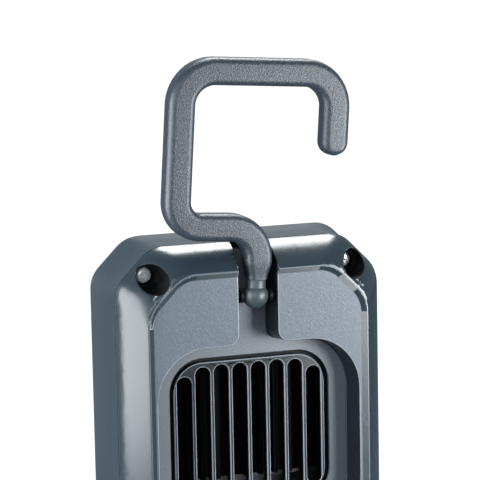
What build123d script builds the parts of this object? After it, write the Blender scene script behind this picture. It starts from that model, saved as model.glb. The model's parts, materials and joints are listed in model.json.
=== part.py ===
from build123d import *
import math
import os

# Hand-held rechargeable work light with a folding hook. Millimetres, +Z up, back face towards -Y.
# The origin lies under the middle of the light, on the surface it stands on.

# Body
body_width = 93.7  # across the parting line between back shell and front housing
body_height = 134.1  # at the parting line
corner_cut = 13.0  # 45 degree cut of each corner, along each side
corner_round = 11.0  # radius where the cut meets the sides
wall = 2.2
shoulder_depth = 11.3  # from the parting line back to the rim
shoulder_side = 7.9  # how far the shoulder draws in at the sides
shoulder_end = 8.5  # the same at top and bottom
shoulder_start_slope = 0.25
straight_band = 11.1  # side wall, parallel part
flared_band = 8.6  # side wall, part that leans out towards the front
flare_side = 2.3  # how far the flared band leans out at each side
flare_top = 1.0
bezel_thickness = 4.0
fit_gap = 0.15  # between pieces that only locate each other

# Back face
rim_land = 0.35
bevel_width = 1.8
recess_depth = 1.2
pocket_draft = 4.5  # degrees
pocket_corner = 17.0
pocket_above_bar = 1.8  # from the folded hook's lower bar up to the pocket's top edge
rim_cut_less = 0.7  # how much shorter the corner cut is at the rim than at the parting line
rim_round_more = 1.0
slot_width = 12.4
slot_mouth_round = 4.5
floor_thickness = 2.0

# Hook, in its own plane: the pivot ball is at 0, 0
hook_width = 9.2
hook_thickness = 8.0
hook_edge_round = 1.9
hook_left = 29.4  # centre line of the long bar, left of the stem
hook_right = 25.0  # centre line of the bar with the tip
hook_top = 74.6
hook_low = 23.0  # centre line of the lower bar
hook_tip = 47.2  # end of the tip
hook_top_radius = 11.4
hook_low_radius = 8.4
stem_bend_radius = 10.5
stem_width = 6.8
stem_end = 5.7  # where the stem meets the neck of the ball
spigot_radius = 1.5
spigot_length = 2.1
hook_lean = 4.0  # degrees that the raised hook leans to the right
hook_side_gap = 1.1  # pocket wall to the folded hook
hook_end_gap = 2.3

# Pivot
ball_radius = 4.4
ball_below_top = 17.8  # ball centre under the top of the body
ball_inset = 4.4  # ball centre in front of the rim plane
neck_radius = 3.3
pin_radius = 1.5
pin_length = 21.0
pin_running_gap = 0.05
ear_radius = 4.2
ear_length = 5.4
washer_radius = 2.3
washer_thickness = 1.0
washer_gap = 0.2  # ball to washer

# Screws that close the body
well_radius = 4.7
well_bottom_radius = 3.2
well_from_side = 11.2
well_from_end = 9.8
screw_head_radius = 2.75
screw_head_height = 2.0
screw_radius = 1.5
screw_length = 11.0
body_screw_head = (screw_head_radius, screw_head_height, screw_radius)
screw_seat = 4.4  # seat of the head in front of the parting line
screw_gap = 0.1
boss_wall = 1.1
well_cone_back = 1.5  # the well narrows from here behind the parting line
well_cone_front = 1.0  # to here in front of it
seat_floor = 1.4  # plastic under the screw head

# Vent grille in the pocket floor
grille_width = 54.2
grille_height = 50.0
grille_corner = 10.2
grille_below_ball = 22.8
grille_gap = 1.35
grille_frame = 1.25
grille_slots = 8
grille_rib = 1.3
grille_slot_round = 2.3
grille_depth = 3.4
grille_sunk = 0.25
grille_flange = 1.6

# Lamp
window_width = 64.0
window_height = 70.0
window_corner = 8.0
window_bottom = 50.0
lens_margin = 3.0
lens_thickness = 2.0
gasket_thickness = 0.8
gasket_width = 2.2
led_columns = 4
led_rows = 4
led_size = 3.5
led_height = 0.8
board_thickness = 1.6
cup_back_radius = 2.9
cup_front_radius = 7.0
reflector_depth = 7.4
sink_base = 3.0
sink_fins = 13
sink_fin = 1.4
sink_fin_height = 3.4
sink_ear = 6.4
lamp_post_radius = 2.8
lamp_screw_radius = 1.25
lamp_screw_length = 7.5
board_screw_length = 3.0
small_screw_head = (2.2, 1.5, lamp_screw_radius)
lamp_post_from_end = 12.0  # from the window's top and bottom
board_post_inset = 4.0

# Battery, control board, button and charging port
cell_radius = 9.2
cell_length = 50.0
cell_forward = 2.3  # centre of the cell in front of the parting line
tray_wall = 1.5
tray_depth = 9.1
contact_thickness = 0.5
contact_gap = 1.6
board_width = 60.0
charge_board_length = 19.0
board_height = 24.0
board_bottom = 12.0
control_thickness = 1.2
switch_size = 6.0
switch_height = 1.5
plunger_radius = 1.6
plunger_height = 0.5
button_radius = 7.0
button_gap = 0.35
button_flange = 1.8
button_flange_thickness = 1.0
button_travel = 0.8
button_height = 24.0
button_under_bezel = 0.4
gauge_lights = 4
gauge_pitch = 6.0
gauge_radius = 1.2
gauge_height = 40.0
port_width = 9.0
port_thickness = 3.3
port_length = 7.3
port_height = 39.0
port_forward = 6.0
port_shell = 0.35
cover_width = 8.0
cover_length = 17.0
cover_thickness = 1.4
cover_gap = 0.3
cover_tongue_width = 6.4
cover_tongue_height = 2.4
cover_tongue_length = 1.2
cover_pin_radius = 0.4
seal_width = 1.0
seal_depth = 0.8

# Places that follow from the sizes above
total_depth = shoulder_depth + straight_band + flared_band + bezel_thickness
rim_y = -total_depth / 2
parting_y = rim_y + shoulder_depth
face_y = rim_y + recess_depth
floor_y = parting_y  # the pocket goes down to the joint of the shells
front_y = parting_y + straight_band + flared_band
plate_y = front_y - wall
bezel_y = front_y + bezel_thickness
half_width = body_width / 2
ball_z = body_height - ball_below_top
ball_y = rim_y + ball_inset
hook_reach_side = hook_left + hook_width / 2
hook_reach = hook_top + hook_width / 2
pocket_half = hook_reach_side + hook_side_gap
pocket_top = ball_z - (hook_low - hook_width / 2) + pocket_above_bar
pocket_bottom = ball_z - hook_reach - hook_end_gap
grille_top = ball_z - grille_below_ball
grille_z = grille_top - grille_height / 2
window_z = window_bottom + window_height / 2
well_x = half_width - well_from_side
well_z = body_height - well_from_end
cell_z = wall + fit_gap + tray_wall + cell_radius
cell_y = parting_y + cell_forward
seal_inset = wall / 2 + 0.1
control_y = plate_y - plunger_height - switch_height - button_travel - 0.25
board_back_y = control_y - control_thickness
reflector_y = front_y - 0.3
led_y = reflector_y - reflector_depth
sink_y = led_y - board_thickness

os.makedirs("parts", exist_ok=True)


def back_plane(y):
    """A plane across the light at depth y, seen from the back: x to the right, z up."""
    return Plane(origin=(0, y, 0), x_dir=(1, 0, 0), z_dir=(0, -1, 0))


def slab(face, y_back, y_front, taper=0):
    """A flat face made solid between two depths; a taper narrows it towards the back."""
    return extrude(back_plane(y_front) * face, amount=y_front - y_back, taper=taper)


def rounded_octagon(half, bottom, top, cut, radius):
    points = [
        (half, bottom + cut),
        (half, top - cut),
        (half - cut, top),
        (cut - half, top),
        (-half, top - cut),
        (-half, bottom + cut),
        (cut - half, bottom),
        (half - cut, bottom),
    ]
    face = make_face(Polyline(*points, close=True))
    return fillet(face.vertices(), radius)


def rounded_box(width, height, radius, x=0.0, z=0.0):
    return Pos(x, z) * RectangleRounded(width, height, radius)


def body_outline(inset=0.0, grow_side=0.0, grow_top=0.0):
    """The body's outline at the parting line, drawn in by inset; the bottom never grows, to stand flat."""
    side = half_width - inset + grow_side
    cut = corner_cut - inset * (2 - math.sqrt(2))
    radius = corner_round - inset
    return rounded_octagon(side, inset, body_height - inset + grow_top, cut, radius)


def shoulder_outline(depth, inset=0.0):
    """The back shell's outline at a depth behind the parting line."""
    bend = (1 - shoulder_start_slope * shoulder_depth / shoulder_side) / shoulder_depth
    share = depth / shoulder_depth * (1 - bend * shoulder_depth) + bend * depth**2 / shoulder_depth
    side = half_width - shoulder_side * share - inset
    bottom = shoulder_end * share + inset
    cut = corner_cut - rim_cut_less * share - inset * (2 - math.sqrt(2))
    radius = corner_round + rim_round_more * share - inset
    return rounded_octagon(side, bottom, body_height - bottom, cut, radius)


def shoulder_solid(depth, inset=0.0, steps=4):
    sections = []
    for i in range(steps + 1):
        at = depth * i / steps
        sections.append(back_plane(parting_y - at) * shoulder_outline(at, inset))
    return loft(sections)


def recess_outline(inset):
    side = half_width - shoulder_side - inset
    bottom = shoulder_end + inset
    cut = corner_cut - rim_cut_less - inset * (2 - math.sqrt(2))
    return rounded_octagon(side, bottom, body_height - bottom, cut, corner_round + rim_round_more - inset)


def pocket_face(grow=0.0):
    """Pocket for the folded hook, with the slot that the stem lies in."""
    height = pocket_top - pocket_bottom
    pocket = rounded_box(2 * pocket_half, height, pocket_corner, 0, (pocket_top + pocket_bottom) / 2)
    slot_top = body_height + 2 * wall
    slot = Pos(0, (slot_top + pocket_top - 4) / 2) * Rectangle(slot_width, slot_top - pocket_top + 4)
    face = pocket + slot
    at_top = [v for v in face.vertices() if abs(v.Y - pocket_top) < 0.01]
    mouths = [v for v in at_top if abs(abs(v.X) - slot_width / 2) < 0.01]
    face = fillet(mouths, slot_mouth_round)
    return offset(face, grow) if grow else face


def cylinder_y(radius, y_back, y_front, x=0.0, z=0.0):
    return slab(Pos(x, z) * Circle(radius), y_back, y_front)


def cone_y(radius_back, radius_front, y_back, y_front, x=0.0, z=0.0):
    front = back_plane(y_front) * Pos(x, z) * Circle(radius_front)
    back = back_plane(y_back) * Pos(x, z) * Circle(radius_back)
    return loft([front, back])


def corners(x, z_low, z_high):
    return [(x, z_low), (-x, z_low), (x, z_high), (-x, z_high)]


well_places = corners(well_x, well_from_end, well_z)


def in_hook_plane(part):
    """Puts a piece drawn about the ball into its place, leaning as the raised hook does."""
    return Pos(0, ball_y, ball_z) * Rot(0, hook_lean, 0) * part


def along_pivot(part):
    """Puts a piece drawn along X onto the fold axis, which leans by half the hook's lean."""
    return Pos(0, ball_y, ball_z) * Rot(0, hook_lean / 2, 0) * part


def make_back_shell():
    shell = shoulder_solid(shoulder_depth)
    cavity_depth = shoulder_depth - recess_depth - wall
    shell -= shoulder_solid(cavity_depth, wall)
    recess_cut = loft(
        [
            back_plane(face_y) * recess_outline(rim_land + bevel_width),
            back_plane(rim_y) * recess_outline(rim_land),
        ]
    )
    shell -= recess_cut
    inside = slab(body_outline(wall + fit_gap), parting_y, floor_y + floor_thickness)
    tub = slab(pocket_face(floor_thickness), face_y, floor_y + floor_thickness)
    shell += tub & (shoulder_solid(shoulder_depth - recess_depth) + inside)
    for x, z in well_places:
        post = cylinder_y(well_radius + boss_wall, face_y, parting_y, x, z)
        shell += post & shoulder_solid(shoulder_depth)
        tube_end = parting_y + screw_seat + seat_floor
        shell += cylinder_y(well_bottom_radius + boss_wall, parting_y, tube_end, x, z)
    for side in (-1, 1):
        ear = Rot(0, 90, 0) * Cylinder(ear_radius, ear_length)
        ear = Pos(side * (slot_width + ear_length) / 2, 0, 0) * ear
        shell += along_pivot(ear) & shoulder_solid(shoulder_depth - recess_depth)
    shell -= slab(pocket_face(), rim_y - 1, floor_y, taper=-pocket_draft)
    shell -= slab(grille_face(grille_gap), floor_y - 1, floor_y + floor_thickness + 1)
    for x, z in well_places:
        cone_back = parting_y - well_cone_back
        cone_front = parting_y + well_cone_front
        seat_y = parting_y + screw_seat
        shell -= cylinder_y(well_radius, rim_y - 1, cone_back, x, z)
        shell -= cone_y(well_radius, well_bottom_radius, cone_back, cone_front, x, z)
        shell -= cylinder_y(well_bottom_radius, cone_front, seat_y, x, z)
        shell -= cylinder_y(screw_radius + screw_gap, parting_y, seat_y + 2 * seat_floor, x, z)
    bore = Rot(0, 90, 0) * Cylinder(pin_radius, pin_length)
    return shell - along_pivot(bore)


def grille_face(grow=0.0):
    radius = grille_corner + grow
    return rounded_box(grille_width + 2 * grow, grille_height + 2 * grow, radius, 0, grille_z)


def make_vent_grille():
    """Ribbed insert that stands in the opening of the pocket floor, on a flange behind it."""
    front = floor_y + grille_sunk
    frame = slab(grille_face(), front, front + grille_depth)
    back = floor_y + floor_thickness
    frame += slab(grille_face(grille_gap + grille_flange), back, front + grille_depth)
    pitch = (grille_width - 2 * grille_frame + grille_rib) / grille_slots
    slot_height = grille_height - 2 * grille_frame
    for i in range(grille_slots):
        x = (i - (grille_slots - 1) / 2) * pitch
        slot = rounded_box(pitch - grille_rib, slot_height, grille_slot_round, x, grille_z)
        frame -= slab(slot & grille_face(-grille_frame), front - 1, front + grille_depth + 1)
    return frame


def hook_section(width, thickness, round_radius):
    return RectangleRounded(width, thickness, round_radius)


def make_hook():
    """One round-edged bar bent into a square C, on a stem that narrows to the neck."""
    bar = hook_section(hook_width, hook_thickness, hook_edge_round)
    stem_top = hook_low - stem_bend_radius
    tip_round = hook_width / 2
    points = [
        (0, 0, stem_top - 0.5),
        (0, 0, hook_low),
        (-hook_left, 0, hook_low),
        (-hook_left, 0, hook_top),
        (hook_right, 0, hook_top),
        (hook_right, 0, hook_tip + tip_round),
    ]
    radii = [stem_bend_radius, hook_low_radius, hook_top_radius, hook_top_radius]
    path = FilletPolyline(*points, radius=radii)
    hook = sweep(Pos(0, 0, stem_top - 0.5) * bar, path=path)
    stem = loft(
        [
            Pos(0, 0, stem_end) * hook_section(stem_width, stem_width, hook_edge_round),
            Pos(0, 0, stem_top - 0.5) * bar,
        ]
    )
    spigot = Pos(0, 0, stem_end - spigot_length / 2) * Cylinder(spigot_radius, spigot_length)
    end = Plane(origin=(hook_right, 0, hook_tip + tip_round), x_dir=(1, 0, 0), z_dir=(0, -1, 0))
    lower_half = Pos(0, -tip_round / 2) * Rectangle(2 * tip_round, tip_round)
    half_disc = end * (Circle(tip_round) & lower_half)
    tip = extrude(half_disc, amount=hook_thickness / 2, both=True)
    tip = fillet(tip.edges().filter_by(GeomType.CIRCLE), hook_edge_round)
    return in_hook_plane(hook + stem + spigot + tip)


def make_pivot_ball():
    ball = Sphere(ball_radius) + Pos(0, 0, stem_end / 2) * Cylinder(neck_radius, stem_end)
    ball -= Pos(0, 0, stem_end - spigot_length / 2) * Cylinder(spigot_radius, spigot_length)
    bore = Rot(0, 90, 0) * Cylinder(pin_radius + pin_running_gap, 3 * ball_radius)
    return in_hook_plane(ball) - along_pivot(bore)


def make_pivot_pin():
    pin = Cylinder(pin_radius, pin_length)
    pin = chamfer(pin.edges(), 0.3)
    return along_pivot(Rot(0, 90, 0) * pin)


def make_pivot_washers():
    ring = Cylinder(washer_radius, washer_thickness)
    ring -= Cylinder(pin_radius + pin_running_gap, washer_thickness)
    place = ball_radius + washer_gap + washer_thickness / 2
    return [along_pivot(Pos(side * place, 0, 0) * Rot(0, 90, 0) * ring) for side in (-1, 1)]


def housing_solid(inset, y_back, y_front):
    """The body's side walls made solid: straight behind, flared towards the front."""
    crease_y = parting_y + straight_band
    solid = slab(body_outline(inset), y_back, min(crease_y, y_front))
    if y_front > crease_y:
        share = (y_front - crease_y) / flared_band
        wide = body_outline(inset, flare_side * share, flare_top * share)
        solid += loft([back_plane(y_front) * wide, back_plane(crease_y) * body_outline(inset)])
    return solid


def lamp_post_places():
    x = window_width / 2 + sink_ear - 1.2
    top = window_bottom + window_height
    return corners(x, window_bottom + lamp_post_from_end, top - lamp_post_from_end)


def board_post_places():
    x = board_width / 2 - board_post_inset
    z = board_bottom + board_post_inset
    return [(x, z), (-x, z)]


def make_front_housing():
    housing = housing_solid(0, parting_y, front_y) - housing_solid(wall, parting_y - 1, plate_y)
    for x, z in well_places:
        post = cylinder_y(well_bottom_radius + 2 * boss_wall + fit_gap, parting_y, plate_y, x, z)
        housing += post & housing_solid(0, parting_y, plate_y)
    for x, z in lamp_post_places():
        housing += cylinder_y(lamp_post_radius, sink_y, plate_y, x, z)
    for x, z in board_post_places():
        housing += cylinder_y(lamp_post_radius, control_y, plate_y, x, z)
    hole = lamp_screw_radius + screw_gap
    for x, z in lamp_post_places():
        housing -= cylinder_y(hole, sink_y - 1, plate_y - 0.4, x, z)
    for x, z in board_post_places():
        housing -= cylinder_y(hole, control_y - 1, plate_y, x, z)
    for x, z in well_places:
        seat_y = parting_y + screw_seat
        tube_room = well_bottom_radius + boss_wall + fit_gap
        housing -= cylinder_y(tube_room, parting_y - 1, seat_y + seat_floor + 0.2, x, z)
        housing -= cylinder_y(screw_radius + screw_gap, parting_y, seat_y + screw_length + 1, x, z)
    window = rounded_box(window_width, window_height, window_corner, 0, window_z)
    housing -= slab(window, plate_y - 1, front_y + 1)
    flange_room = button_radius + button_flange + button_gap
    housing -= cylinder_y(flange_room, plate_y - 1, front_y + 1, 0, button_height)
    for x in gauge_places():
        housing -= cylinder_y(gauge_radius + 0.1, plate_y - 1, front_y + 1, x, gauge_height)
    housing -= port_opening() + cover_recess()
    housing -= cover_pin_rod(cover_pin_length(), cover_pin_radius)
    return housing - seal_ring()


def slot_gate():
    """The part of the joint under the slot, where the seal stops."""
    return Pos(0, parting_y, body_height) * Box(slot_width + 2 * floor_thickness + 1, 4, 12)


def seal_ring():
    """Ring along the joint of the two shells, thinned where it passes the screw tubes."""
    ring = slab(body_outline(seal_inset - seal_width / 2), parting_y, parting_y + seal_depth)
    ring -= slab(body_outline(seal_inset + seal_width / 2), parting_y, parting_y + seal_depth)
    tube_room = well_bottom_radius + boss_wall + fit_gap
    for x, z in well_places:
        ring -= cylinder_y(tube_room, parting_y, parting_y + seal_depth, x, z)
    return ring - slot_gate()


def gauge_places():
    return [(i - (gauge_lights - 1) / 2) * gauge_pitch for i in range(gauge_lights)]


def port_opening():
    place = Pos(half_width - wall / 2, parting_y + port_forward, port_height)
    return place * Box(3 * wall, port_thickness + 0.8, port_width + 0.8)


def cover_z_top():
    return port_height + cover_length / 2


def cover_recess():
    depth = cover_thickness + cover_gap
    box = Box(2 * depth, cover_width + 2 * cover_gap, cover_length + 2 * cover_gap)
    return Pos(half_width, parting_y + port_forward, port_height) * box


def cover_pin_length():
    return cover_width + 2 * cover_gap + 1.4


def cover_pin_rod(length, radius):
    place = Pos(cover_axis_x(), parting_y + port_forward, cover_axis_z())
    return place * Rot(90, 0, 0) * Cylinder(radius, length)


def cover_axis_x():
    return half_width - cover_thickness / 2


def cover_axis_z():
    return cover_z_top() - cover_thickness / 2


def make_port_cover():
    """Flap over the charging port, with a tongue that plugs it; it swings on a pin at its upper end."""
    height = cover_length - cover_thickness / 2
    place = Pos(cover_axis_x(), parting_y + port_forward, cover_axis_z() - height / 2)
    flap = place * Box(cover_thickness, cover_width, height)
    flap += cover_pin_rod(cover_width, cover_thickness / 2)
    inner_x = half_width - cover_thickness
    tongue_box = Box(cover_tongue_length, cover_tongue_height, cover_tongue_width)
    tongue_x = inner_x - cover_tongue_length / 2
    flap += Pos(tongue_x, parting_y + port_forward, port_height) * tongue_box
    return flap - cover_pin_rod(2 * cover_width, cover_pin_radius + 0.05)


def make_screws(places, seat_y, length, head):
    """Pan-head cross-recess screws, driven from the back."""
    head_radius, head_height, radius = head
    screws = []
    for x, z in places:
        screw = cylinder_y(head_radius, seat_y - head_height, seat_y, x, z)
        rim = screw.edges().sort_by(Axis.Y)[0]
        screw = fillet(rim, 0.35 * head_height)
        screw += cylinder_y(radius, seat_y, seat_y + length, x, z)
        recess = Box(1.2 * head_radius, head_height, 0.3 * head_radius)
        for turn in (0, 90):
            screw -= Pos(x, seat_y - head_height, z) * Rot(0, turn + 20, 0) * recess
        screws.append(screw)
    return screws


def make_front_bezel():
    bezel = slab(body_outline(0.6, flare_side, flare_top), front_y, bezel_y)
    front_edges = bezel.edges().group_by(Axis.Y)[-1]
    bezel = chamfer(front_edges, 1.6)
    window = rounded_box(window_width, window_height, window_corner, 0, window_z)
    bezel -= slab(window, front_y - 1, bezel_y + 1)
    bezel -= slab(lens_face(fit_gap), front_y - 1, front_y + gasket_thickness + lens_thickness)
    bezel -= cylinder_y(button_radius + button_gap, front_y - 1, bezel_y + 1, 0, button_height)
    for x in gauge_places():
        bezel -= cylinder_y(gauge_radius + 0.1, front_y - 1, bezel_y + 1, x, gauge_height)
    room_front = front_y + button_flange_thickness + button_travel + fit_gap + 0.15
    room_radius = button_radius + button_flange + button_gap
    return bezel - cylinder_y(room_radius, front_y - 1, room_front, 0, button_height)


def lens_face(grow=0.0):
    margin = lens_margin + grow
    width = window_width + 2 * margin
    return rounded_box(width, window_height + 2 * margin, window_corner + margin, 0, window_z)


def make_lens():
    back = front_y + gasket_thickness
    return slab(lens_face(), back, back + lens_thickness)


def make_lens_gasket():
    gasket_front = front_y + gasket_thickness
    inner = lens_face(-gasket_width)
    return slab(lens_face(), front_y, gasket_front) - slab(inner, front_y, gasket_front)


def led_places():
    pitch_x = window_width / led_columns
    pitch_z = window_height / led_rows
    places = []
    for i in range(led_columns):
        for j in range(led_rows):
            x = (i - (led_columns - 1) / 2) * pitch_x
            z = window_z + (j - (led_rows - 1) / 2) * pitch_z
            places.append((x, z))
    return places


def make_reflector():
    outline = rounded_box(window_width - 0.6, window_height - 0.6, window_corner, 0, window_z)
    tray = slab(outline, led_y, reflector_y)
    for x, z in led_places():
        tray -= cone_y(cup_back_radius, cup_front_radius, led_y, reflector_y, x, z)
    return tray


def make_led_board():
    return slab(rounded_box(window_width, window_height, 3, 0, window_z), sink_y, led_y)


def make_leds():
    outlines = [rounded_box(led_size, led_size, 0.4, x, z) for x, z in led_places()]
    return [slab(outline, led_y, led_y + led_height) for outline in outlines]


def make_heat_sink():
    base_width = window_width + 2 * sink_ear + 2
    outline = rounded_box(base_width, window_height - 4, 4, 0, window_z)
    sink = slab(outline, sink_y - sink_base, sink_y)
    pitch = (window_width - sink_fin) / (sink_fins - 1)
    for i in range(sink_fins):
        x = (i - (sink_fins - 1) / 2) * pitch
        fin = Pos(x, grille_z) * Rectangle(sink_fin, grille_height) & outline
        sink += slab(fin, sink_y - sink_base - sink_fin_height, sink_y - sink_base)
    for x, z in lamp_post_places():
        sink -= cylinder_y(lamp_screw_radius + screw_gap, sink_y - 2 * sink_base, sink_y + 1, x, z)
    return sink


def make_battery_cell():
    cell = Pos(0, cell_y, cell_z) * Rot(0, 90, 0) * Cylinder(cell_radius, cell_length - 1.2)
    cell = fillet(cell.edges(), 0.8)
    cap = Pos(cell_length / 2 - 0.6, cell_y, cell_z) * Rot(0, 90, 0) * Cylinder(3, 1.2)
    return cell + cap


def tray_half():
    return cell_length / 2 + contact_gap + contact_thickness + tray_wall


def make_battery_tray():
    """Cradle on the floor of the front housing, open at the top, with an end wall behind each contact."""
    height = cell_radius + tray_wall
    middle = parting_y + fit_gap + tray_depth / 2
    tray = Pos(0, middle, cell_z - height / 2) * Box(2 * tray_half(), tray_depth, height)
    room = 2 * (tray_half() - tray_wall)
    tray -= Pos(0, cell_y, cell_z) * Rot(0, 90, 0) * Cylinder(cell_radius + 0.15, room)
    return tray


def make_battery_contacts():
    contacts = []
    for side in (-1, 1):
        x = side * (tray_half() - tray_wall - contact_thickness / 2)
        plate = Pos(x, cell_y + 1.5, cell_z + 1.0) * Box(contact_thickness, 7, 9)
        nub_length = contact_gap - 0.05
        nub = Pos(x - side * (contact_thickness + nub_length) / 2, cell_y, cell_z) * Rot(0, 90, 0)
        contacts.append(plate + nub * Cylinder(2.0, nub_length))
    return contacts


def make_control_board():
    centre = board_bottom + board_height / 2
    board = slab(rounded_box(board_width, board_height, 2, 0, centre), board_back_y, control_y)
    for x, z in board_post_places():
        board -= cylinder_y(lamp_screw_radius + screw_gap, board_back_y - 1, control_y + 1, x, z)
    return board


def make_tact_switch():
    top = control_y + switch_height
    body = slab(rounded_box(switch_size, switch_size, 0.5, 0, button_height), control_y, top)
    return body + cylinder_y(plunger_radius, top, top + plunger_height, 0, button_height)


def make_power_button():
    """Cap that passes through the bezel, a flange that keeps it in and a stem that reaches the switch."""
    cap_back = front_y + button_travel + 0.2
    cap_front = bezel_y - button_under_bezel
    cap = cylinder_y(button_radius, cap_back, cap_front, 0, button_height)
    cap = fillet(cap.edges().group_by(Axis.Y)[-1], 0.9)
    flange_front = cap_back + button_flange_thickness
    cap += cylinder_y(button_radius + button_flange, cap_back, flange_front, 0, button_height)
    stem_back = control_y + switch_height + plunger_height + button_travel + 0.1
    return cap + cylinder_y(2.2, stem_back, cap_back, 0, button_height)


def make_gauge_lights():
    pipe_back = plate_y - 1.2
    return [cylinder_y(gauge_radius, pipe_back, bezel_y - 0.2, x, gauge_height) for x in gauge_places()]


def port_centre():
    inner_x = half_width - wall - 0.2
    return inner_x - port_length / 2


def make_charge_port():
    place = Pos(port_centre(), parting_y + port_forward, port_height)
    outer = Box(port_length, port_thickness, port_width)
    outer = fillet(outer.edges().filter_by(Axis.X), port_thickness / 2 - 0.1)
    room = Pos(0.8, 0, 0) * Box(port_length, port_thickness - 2 * port_shell, port_width - 2 * port_shell)
    room = fillet(room.edges().filter_by(Axis.X), port_thickness / 2 - port_shell - 0.1)
    tongue = Pos(-0.4, 0, 0) * Box(port_length - 1.6, 0.7, port_width - 2.4)
    return place * (outer - room + tongue)


def make_charge_board():
    back = parting_y + port_forward + port_thickness / 2
    x = port_centre() + (port_length - charge_board_length) / 2
    outline = rounded_box(charge_board_length, port_width + 4, 1, x, port_height)
    return slab(outline, back, back + control_thickness)


nodes = {
    "back_shell": make_back_shell(),
    "front_housing": make_front_housing(),
    "front_bezel": make_front_bezel(),
    "lens": make_lens(),
    "lens_gasket": make_lens_gasket(),
    "reflector": make_reflector(),
    "led_board": make_led_board(),
    "leds": make_leds(),
    "heat_sink": make_heat_sink(),
    "vent_grille": make_vent_grille(),
    "hook": make_hook(),
    "pivot_ball": make_pivot_ball(),
    "pivot_pin": make_pivot_pin(),
    "pivot_washers": make_pivot_washers(),
    "shell_seal": seal_ring(),
    "body_screws": make_screws(well_places, parting_y + screw_seat, screw_length, body_screw_head),
    "lamp_screws": make_screws(lamp_post_places(), sink_y - sink_base, lamp_screw_length, small_screw_head),
    "board_screws": make_screws(board_post_places(), board_back_y, board_screw_length, small_screw_head),
    "battery_cell": make_battery_cell(),
    "battery_tray": make_battery_tray(),
    "battery_contacts": make_battery_contacts(),
    "control_board": make_control_board(),
    "tact_switch": make_tact_switch(),
    "power_button": make_power_button(),
    "gauge_lights": make_gauge_lights(),
    "charge_port": make_charge_port(),
    "charge_board": make_charge_board(),
    "port_cover": make_port_cover(),
    "port_cover_pin": cover_pin_rod(cover_pin_length(), cover_pin_radius),
}

for name, shape in nodes.items():
    solid = Compound(children=list(shape)) if isinstance(shape, list) else shape
    export_step(solid, f"parts/{name}.step")
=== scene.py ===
import json
import math

import bmesh
import bpy
from mathutils import Matrix, Vector


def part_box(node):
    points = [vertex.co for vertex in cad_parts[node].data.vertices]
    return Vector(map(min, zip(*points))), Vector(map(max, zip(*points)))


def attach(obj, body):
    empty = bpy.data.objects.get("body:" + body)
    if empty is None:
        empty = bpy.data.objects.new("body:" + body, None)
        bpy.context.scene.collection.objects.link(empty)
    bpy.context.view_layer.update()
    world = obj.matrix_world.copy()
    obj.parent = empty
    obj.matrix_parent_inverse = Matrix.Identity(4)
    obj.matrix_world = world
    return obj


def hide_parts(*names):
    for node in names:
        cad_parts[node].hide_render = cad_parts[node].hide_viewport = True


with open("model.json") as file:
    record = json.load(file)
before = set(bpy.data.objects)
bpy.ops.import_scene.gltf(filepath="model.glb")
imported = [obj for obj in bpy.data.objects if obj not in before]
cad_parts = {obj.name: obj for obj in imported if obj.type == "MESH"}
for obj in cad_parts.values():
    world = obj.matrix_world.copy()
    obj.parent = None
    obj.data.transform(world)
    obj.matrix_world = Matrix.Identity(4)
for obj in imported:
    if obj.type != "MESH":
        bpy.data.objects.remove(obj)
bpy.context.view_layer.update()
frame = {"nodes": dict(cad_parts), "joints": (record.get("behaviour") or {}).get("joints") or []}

mm = 0.001  # the sizes in the dictionaries are millimetres, unless a note says otherwise
axisRadius = 0.001  # the smallest ring of a turned piece
print("frame loaded")


# shader groups give the colours, masks and heights that several finishes share

def newShaderGroup(name, inputs, outputs):
    group = bpy.data.node_groups.new(name, "ShaderNodeTree")
    for label, value in inputs.items():
        group.interface.new_socket(label, in_out="INPUT", socket_type="NodeSocketFloat").default_value = value
    for label in outputs:
        group.interface.new_socket(label, in_out="OUTPUT", socket_type="NodeSocketFloat")
    return group, group.nodes.new("NodeGroupInput"), group.nodes.new("NodeGroupOutput")


def mathNode(tree, operation, first, second=None, clamp=False):
    node = tree.nodes.new("ShaderNodeMath")
    node.operation = operation
    node.use_clamp = clamp
    for socket, value in zip(node.inputs, (first, second)):
        if value is None:
            continue
        if isinstance(value, (int, float)):
            socket.default_value = value
        else:
            tree.links.new(value, socket)
    return node.outputs[0]


def noiseNode(tree, scale, detail=2.0, roughness=0.5):
    node = tree.nodes.new("ShaderNodeTexNoise")
    node.inputs["Detail"].default_value = detail
    node.inputs["Roughness"].default_value = roughness
    tree.links.new(tree.nodes.new("ShaderNodeTexCoord").outputs["Object"], node.inputs["Vector"])
    if isinstance(scale, (int, float)):
        node.inputs["Scale"].default_value = scale
    else:
        tree.links.new(scale, node.inputs["Scale"])
    return node.outputs["Fac"]


def makeGrainGroup():
    # spark-eroded mould grain: fine pits with a coarser unevenness under them
    group, source, target = newShaderGroup("mouldGrain", {"Scale": 2200.0}, ["Height"])
    scale = source.outputs["Scale"]
    fine = noiseNode(group, scale, 3.0, 0.6)
    coarse = noiseNode(group, mathNode(group, "MULTIPLY", scale, 0.37), 1.0)
    finePart = mathNode(group, "MULTIPLY", fine, 0.7)
    coarsePart = mathNode(group, "MULTIPLY", coarse, 0.3)
    height = mathNode(group, "ADD", finePart, coarsePart)
    group.links.new(height, target.inputs["Height"])
    return group


def makeMottleGroup():
    # slow unevenness of colour and gloss, and faint rub marks
    group, source, target = newShaderGroup("softMottle", {"Scale": 60.0, "Amount": 0.1}, ["Factor"])
    cloud = noiseNode(group, source.outputs["Scale"], 4.0, 0.55)
    swing = mathNode(group, "MULTIPLY", mathNode(group, "SUBTRACT", cloud, 0.5), source.outputs["Amount"])
    group.links.new(mathNode(group, "ADD", swing, 1.0), target.inputs["Factor"])
    return group


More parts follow.
